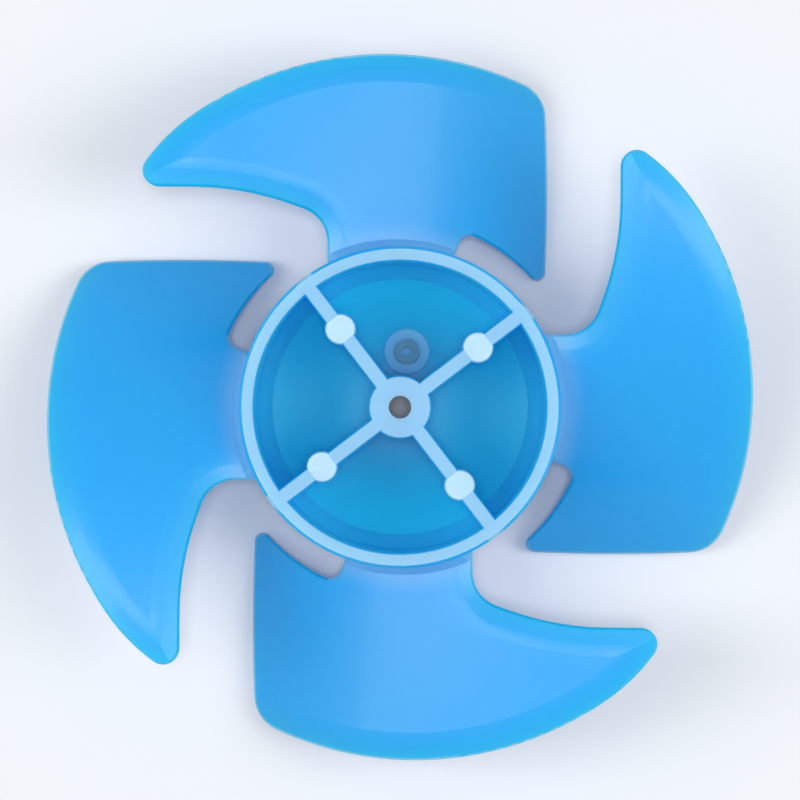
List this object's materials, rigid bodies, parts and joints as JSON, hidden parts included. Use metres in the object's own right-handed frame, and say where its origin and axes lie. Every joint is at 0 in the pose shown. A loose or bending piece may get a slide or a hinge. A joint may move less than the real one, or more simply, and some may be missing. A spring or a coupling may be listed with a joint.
{
  "type": "axial fan impeller",
  "caption": "Small moulded axial fan impeller with sickle-shaped cambered blades and a ribbed hub cup that presses on a motor shaft.",
  "frame": {"origin": "on the shaft axis, at the open face of the hub, where the bore opens", "axes": "+Z along the shaft axis, out of the open ribbed side of the hub; +Y through the middle of one blade's root side"},
  "size_m": [0.1, 0.1, 0.0255],
  "materials": {
    "translucent_polypropylene": "satin, slightly translucent moulded polypropylene"
  },
  "bodies": {
    "root": {"impeller": "translucent_polypropylene"}
  },
  "joints": []
}
